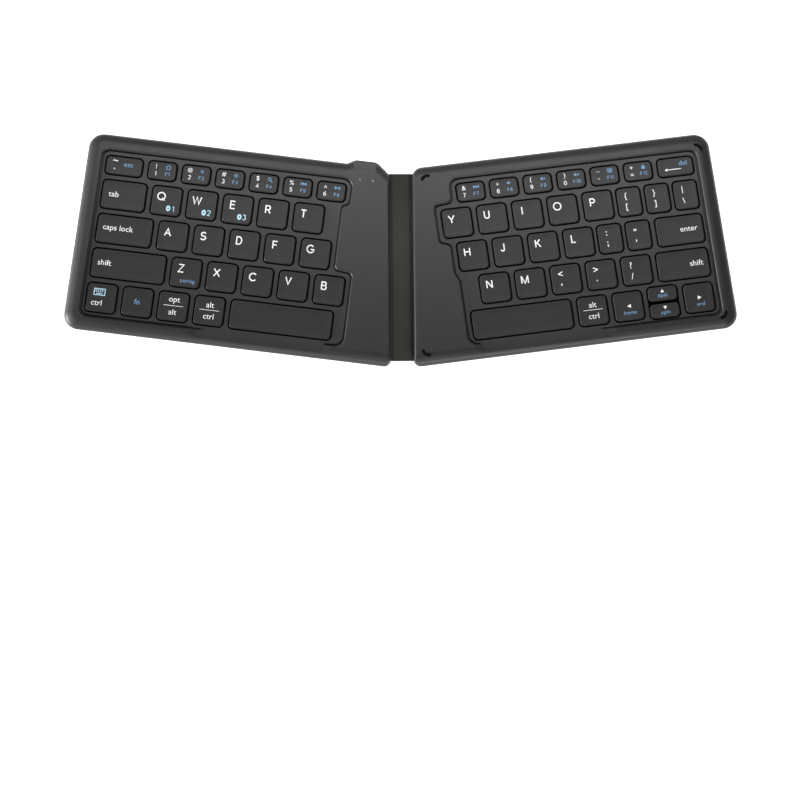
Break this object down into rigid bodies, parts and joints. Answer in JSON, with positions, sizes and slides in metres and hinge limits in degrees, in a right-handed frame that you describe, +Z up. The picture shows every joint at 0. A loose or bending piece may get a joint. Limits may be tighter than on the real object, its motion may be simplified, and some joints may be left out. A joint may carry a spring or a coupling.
{
  "type": "folding keyboard",
  "caption": "Slim wireless keyboard in two splayed halves that fold shut like a book about a flexible spine band with two creases; keys travel on rubber domes.",
  "frame": {"origin": "on the desk plane, under the middle of the opened keyboard's outline", "axes": "+X to the user's right, +Y away from the user towards the number row, +Z up out of the keys"},
  "size_m": [0.309, 0.111, 0.0054],
  "materials": {
    "cover": "soft-touch coat, fine even grain",
    "deck": "moulded, fine satin grain",
    "keycap": "moulded, fine satin grain, pale printed legends",
    "band": "soft coated flexible sheet",
    "bumper": "matte black rubber",
    "dome_rubber": "translucent milky silicone",
    "lifter": "black acetal",
    "stiffener": "rolled sheet",
    "switch_sheet": "printed polyester film stack",
    "board": "solder-masked laminate",
    "battery_wrap": "foil pouch",
    "steel": "plated stamped sheet",
    "magnet": "nickel plated",
    "light_pipe": "clear diffusing plastic",
    "ribbon": "black-coated polyimide film"
  },
  "bodies": {
    "right_half": {"right_bottom_cover": "cover", "right_base_plate": "stiffener", "right_switch_sheet": "switch_sheet", "right_deck": "deck", "corner_bumpers": "bumper", "right_band_flange": "band", "right_ribbon_tail": "ribbon", "right_magnets": "magnet", "right_key_domes": "dome_rubber", "right_key_lifters": "lifter"},
    "spine": {"spine_band": "band", "spine_ribbon": "ribbon"},
    "left_half": {"left_bottom_cover": "cover", "left_base_plate": "stiffener", "left_switch_sheet": "switch_sheet", "left_deck": "deck", "left_band_flange": "band", "left_ribbon_tail": "ribbon", "main_board": "board", "battery": "battery_wrap", "charge_socket": "steel", "status_light_pipes": "light_pipe", "left_magnets": "magnet", "left_key_domes": "dome_rubber", "left_key_lifters": "lifter"},
    "left_space_key": {"left_space_key": "keycap"},
    "right_space_key": {"right_space_key": "keycap"},
    "key_t": {"key_t": "keycap"},
    "key_r": {"key_r": "keycap"},
    "key_e": {"key_e": "keycap"},
    "key_w": {"key_w": "keycap"},
    "key_q": {"key_q": "keycap"},
    "key_g": {"key_g": "keycap"},
    "key_f": {"key_f": "keycap"},
    "key_d": {"key_d": "keycap"},
    "key_s": {"key_s": "keycap"},
    "key_a": {"key_a": "keycap"},
    "key_b": {"key_b": "keycap"},
    "key_v": {"key_v": "keycap"},
    "key_c": {"key_c": "keycap"},
    "key_x": {"key_x": "keycap"},
    "key_z": {"key_z": "keycap"},
    "key_y": {"key_y": "keycap"},
    "key_u": {"key_u": "keycap"},
    "key_i": {"key_i": "keycap"},
    "key_o": {"key_o": "keycap"},
    "key_p": {"key_p": "keycap"},
    "key_h": {"key_h": "keycap"},
    "key_j": {"key_j": "keycap"},
    "key_k": {"key_k": "keycap"},
    "key_l": {"key_l": "keycap"},
    "key_n": {"key_n": "keycap"},
    "key_m": {"key_m": "keycap"},
    "left_number_keys": {"left_number_keys": "keycap"},
    "right_number_keys": {"right_number_keys": "keycap"},
    "left_side_keys": {"left_side_keys": "keycap"},
    "right_symbol_keys": {"right_symbol_keys": "keycap"},
    "right_edge_keys": {"right_edge_keys": "keycap"},
    "arrow_keys": {"arrow_keys": "keycap"}
  },
  "joints": [
    {"name": "left_fold", "type": "hinge", "parent": "spine", "child": "left_half", "pos_m": [-0.0045, 0, 0.0009], "axis": [0, 1, 0], "range_deg": [0, 90]},
    {"name": "spine_fold", "type": "hinge", "parent": "right_half", "child": "spine", "pos_m": [0.0045, 0, 0.0009], "axis": [0, 1, 0], "range_deg": [0, 90]},
    {"name": "left_space_key_press", "type": "slide", "parent": "left_half", "child": "left_space_key", "axis": [0, 0, 1], "range_m": [-0.0012, 0], "stiffness_N_per_m": 700, "springref_m": 0.0003, "deforming": ["left_key_domes", "left_key_lifters"]},
    {"name": "right_space_key_press", "type": "slide", "parent": "right_half", "child": "right_space_key", "axis": [0, 0, 1], "range_m": [-0.0012, 0], "stiffness_N_per_m": 700, "springref_m": 0.0003, "deforming": ["right_key_domes", "right_key_lifters"]},
    {"name": "key_t_press", "type": "slide", "parent": "left_half", "child": "key_t", "axis": [0, 0, 1], "range_m": [-0.0012, 0], "stiffness_N_per_m": 350, "springref_m": 0.0003},
    {"name": "key_r_press", "type": "slide", "parent": "left_half", "child": "key_r", "axis": [0, 0, 1], "range_m": [-0.0012, 0], "stiffness_N_per_m": 350, "springref_m": 0.0003},
    {"name": "key_e_press", "type": "slide", "parent": "left_half", "child": "key_e", "axis": [0, 0, 1], "range_m": [-0.0012, 0], "stiffness_N_per_m": 350, "springref_m": 0.0003},
    {"name": "key_w_press", "type": "slide", "parent": "left_half", "child": "key_w", "axis": [0, 0, 1], "range_m": [-0.0012, 0], "stiffness_N_per_m": 350, "springref_m": 0.0003},
    {"name": "key_q_press", "type": "slide", "parent": "left_half", "child": "key_q", "axis": [0, 0, 1], "range_m": [-0.0012, 0], "stiffness_N_per_m": 350, "springref_m": 0.0003},
    {"name": "key_g_press", "type": "slide", "parent": "left_half", "child": "key_g", "axis": [0, 0, 1], "range_m": [-0.0012, 0], "stiffness_N_per_m": 350, "springref_m": 0.0003},
    {"name": "key_f_press", "type": "slide", "parent": "left_half", "child": "key_f", "axis": [0, 0, 1], "range_m": [-0.0012, 0], "stiffness_N_per_m": 350, "springref_m": 0.0003},
    {"name": "key_d_press", "type": "slide", "parent": "left_half", "child": "key_d", "axis": [0, 0, 1], "range_m": [-0.0012, 0], "stiffness_N_per_m": 350, "springref_m": 0.0003},
    {"name": "key_s_press", "type": "slide", "parent": "left_half", "child": "key_s", "axis": [0, 0, 1], "range_m": [-0.0012, 0], "stiffness_N_per_m": 350, "springref_m": 0.0003},
    {"name": "key_a_press", "type": "slide", "parent": "left_half", "child": "key_a", "axis": [0, 0, 1], "range_m": [-0.0012, 0], "stiffness_N_per_m": 350, "springref_m": 0.0003},
    {"name": "key_b_press", "type": "slide", "parent": "left_half", "child": "key_b", "axis": [0, 0, 1], "range_m": [-0.0012, 0], "stiffness_N_per_m": 350, "springref_m": 0.0003},
    {"name": "key_v_press", "type": "slide", "parent": "left_half", "child": "key_v", "axis": [0, 0, 1], "range_m": [-0.0012, 0], "stiffness_N_per_m": 350, "springref_m": 0.0003},
    {"name": "key_c_press", "type": "slide", "parent": "left_half", "child": "key_c", "axis": [0, 0, 1], "range_m": [-0.0012, 0], "stiffness_N_per_m": 350, "springref_m": 0.0003},
    {"name": "key_x_press", "type": "slide", "parent": "left_half", "child": "key_x", "axis": [0, 0, 1], "range_m": [-0.0012, 0], "stiffness_N_per_m": 350, "springref_m": 0.0003},
    {"name": "key_z_press", "type": "slide", "parent": "left_half", "child": "key_z", "axis": [0, 0, 1], "range_m": [-0.0012, 0], "stiffness_N_per_m": 350, "springref_m": 0.0003},
    {"name": "key_y_press", "type": "slide", "parent": "right_half", "child": "key_y", "axis": [0, 0, 1], "range_m": [-0.0012, 0], "stiffness_N_per_m": 350, "springref_m": 0.0003},
    {"name": "key_u_press", "type": "slide", "parent": "right_half", "child": "key_u", "axis": [0, 0, 1], "range_m": [-0.0012, 0], "stiffness_N_per_m": 350, "springref_m": 0.0003},
    {"name": "key_i_press", "type": "slide", "parent": "right_half", "child": "key_i", "axis": [0, 0, 1], "range_m": [-0.0012, 0], "stiffness_N_per_m": 350, "springref_m": 0.0003},
    {"name": "key_o_press", "type": "slide", "parent": "right_half", "child": "key_o", "axis": [0, 0, 1], "range_m": [-0.0012, 0], "stiffness_N_per_m": 350, "springref_m": 0.0003},
    {"name": "key_p_press", "type": "slide", "parent": "right_half", "child": "key_p", "axis": [0, 0, 1], "range_m": [-0.0012, 0], "stiffness_N_per_m": 350, "springref_m": 0.0003},
    {"name": "key_h_press", "type": "slide", "parent": "right_half", "child": "key_h", "axis": [0, 0, 1], "range_m": [-0.0012, 0], "stiffness_N_per_m": 350, "springref_m": 0.0003},
    {"name": "key_j_press", "type": "slide", "parent": "right_half", "child": "key_j", "axis": [0, 0, 1], "range_m": [-0.0012, 0], "stiffness_N_per_m": 350, "springref_m": 0.0003},
    {"name": "key_k_press", "type": "slide", "parent": "right_half", "child": "key_k", "axis": [0, 0, 1], "range_m": [-0.0012, 0], "stiffness_N_per_m": 350, "springref_m": 0.0003},
    {"name": "key_l_press", "type": "slide", "parent": "right_half", "child": "key_l", "axis": [0, 0, 1], "range_m": [-0.0012, 0], "stiffness_N_per_m": 350, "springref_m": 0.0003},
    {"name": "key_n_press", "type": "slide", "parent": "right_half", "child": "key_n", "axis": [0, 0, 1], "range_m": [-0.0012, 0], "stiffness_N_per_m": 350, "springref_m": 0.0003},
    {"name": "key_m_press", "type": "slide", "parent": "right_half", "child": "key_m", "axis": [0, 0, 1], "range_m": [-0.0012, 0], "stiffness_N_per_m": 350, "springref_m": 0.0003},
    {"name": "left_number_keys_press", "type": "slide", "parent": "left_half", "child": "left_number_keys", "axis": [0, 0, 1], "range_m": [-0.0012, 0], "stiffness_N_per_m": 2450, "springref_m": 0.0003},
    {"name": "right_number_keys_press", "type": "slide", "parent": "right_half", "child": "right_number_keys", "axis": [0, 0, 1], "range_m": [-0.0012, 0], "stiffness_N_per_m": 2450, "springref_m": 0.0003},
    {"name": "left_side_keys_press", "type": "slide", "parent": "left_half", "child": "left_side_keys", "axis": [0, 0, 1], "range_m": [-0.0012, 0], "stiffness_N_per_m": 2450, "springref_m": 0.0003},
    {"name": "right_symbol_keys_press", "type": "slide", "parent": "right_half", "child": "right_symbol_keys", "axis": [0, 0, 1], "range_m": [-0.0012, 0], "stiffness_N_per_m": 2800, "springref_m": 0.0003},
    {"name": "right_edge_keys_press", "type": "slide", "parent": "right_half", "child": "right_edge_keys", "axis": [0, 0, 1], "range_m": [-0.0012, 0], "stiffness_N_per_m": 1050, "springref_m": 0.0003},
    {"name": "arrow_keys_press", "type": "slide", "parent": "right_half", "child": "arrow_keys", "axis": [0, 0, 1], "range_m": [-0.0012, 0], "stiffness_N_per_m": 1400, "springref_m": 0.0003}
  ],
  "couplings": [
    {"joint": "spine_fold", "follows": "left_fold", "ratio": 1}
  ]
}
